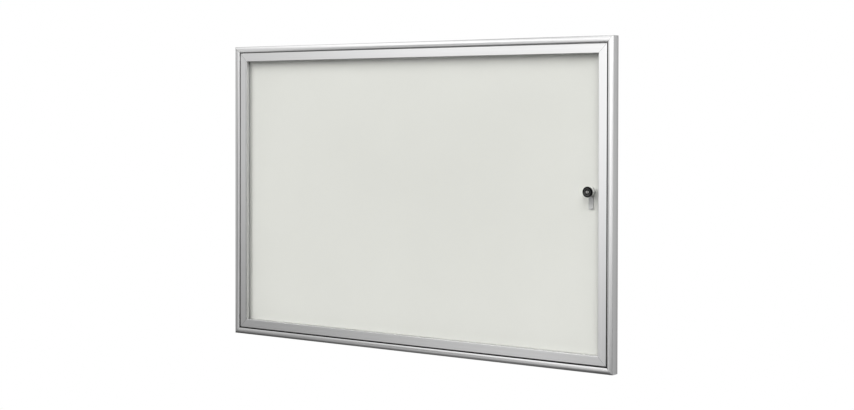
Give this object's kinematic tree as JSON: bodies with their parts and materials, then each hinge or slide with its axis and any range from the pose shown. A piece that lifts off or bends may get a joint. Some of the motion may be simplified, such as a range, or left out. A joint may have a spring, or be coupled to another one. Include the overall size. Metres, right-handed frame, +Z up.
{
  "type": "lockable notice board",
  "caption": "Slim lockable notice board for a wall: an aluminium case with a glazed door on hidden side pivots, a cam lock in the pane and a plain metal back panel.",
  "frame": {"origin": "middle of the back face, at the centre of the four wall-fixing holes", "axes": "+X to the right and +Z up as seen from the front; the wall is at Y = 0 and the front faces -Y"},
  "size_m": [0.9, 0.02, 0.6],
  "materials": {
    "case_aluminium": "satin anodised",
    "door_aluminium": "satin anodised",
    "cast_cleat": "as cast",
    "panel_coating": "matt pale grey",
    "clear_pane": "clear gloss",
    "glazing_rubber": "matt",
    "buffer_rubber": "matt",
    "bush_nylon": "matt",
    "plain_steel": "zinc plated",
    "washer_rubber": "matt",
    "lock_black": "gloss black",
    "lock_chrome": "polished",
    "plug_metal": "dark nickel"
  },
  "bodies": {
    "case": {"back_panel": "panel_coating", "door_buffers": "buffer_rubber", "frame_bottom": "case_aluminium", "frame_cleat_bottom_left": "cast_cleat", "frame_cleat_bottom_right": "cast_cleat", "frame_cleat_top_left": "cast_cleat", "frame_cleat_top_right": "cast_cleat", "frame_left": "case_aluminium", "frame_right": "case_aluminium", "frame_top": "case_aluminium", "hinge_bush_bottom": "bush_nylon", "hinge_bush_top": "bush_nylon"},
    "door": {"door_bottom": "door_aluminium", "door_cleat_bottom_left": "cast_cleat", "door_cleat_bottom_right": "cast_cleat", "door_cleat_top_left": "cast_cleat", "door_cleat_top_right": "cast_cleat", "door_left": "door_aluminium", "door_right": "door_aluminium", "door_top": "door_aluminium", "glazing_seal_bottom": "glazing_rubber", "glazing_seal_left": "glazing_rubber", "glazing_seal_right": "glazing_rubber", "glazing_seal_top": "glazing_rubber", "hinge_pin_bottom": "plain_steel", "hinge_pin_top": "plain_steel", "lock_body": "lock_chrome", "lock_cap": "lock_black", "lock_nut": "plain_steel", "lock_washer": "washer_rubber", "pane": "clear_pane"},
    "lock_plug": {"lock_plug": "plug_metal", "lock_cam": "plain_steel", "cam_screw": "plain_steel"}
  },
  "joints": [
    {"name": "door_hinge", "type": "hinge", "parent": "case", "child": "door", "pos_m": [-0.4318, -0.0134, 0], "axis": [0, 0, -1], "range_deg": [0, 105]},
    {"name": "lock_turn", "type": "hinge", "parent": "door", "child": "lock_plug", "pos_m": [0.3985, -0.0134, 0.0221], "axis": [0, -1, 0], "range_deg": [0, 90]}
  ]
}
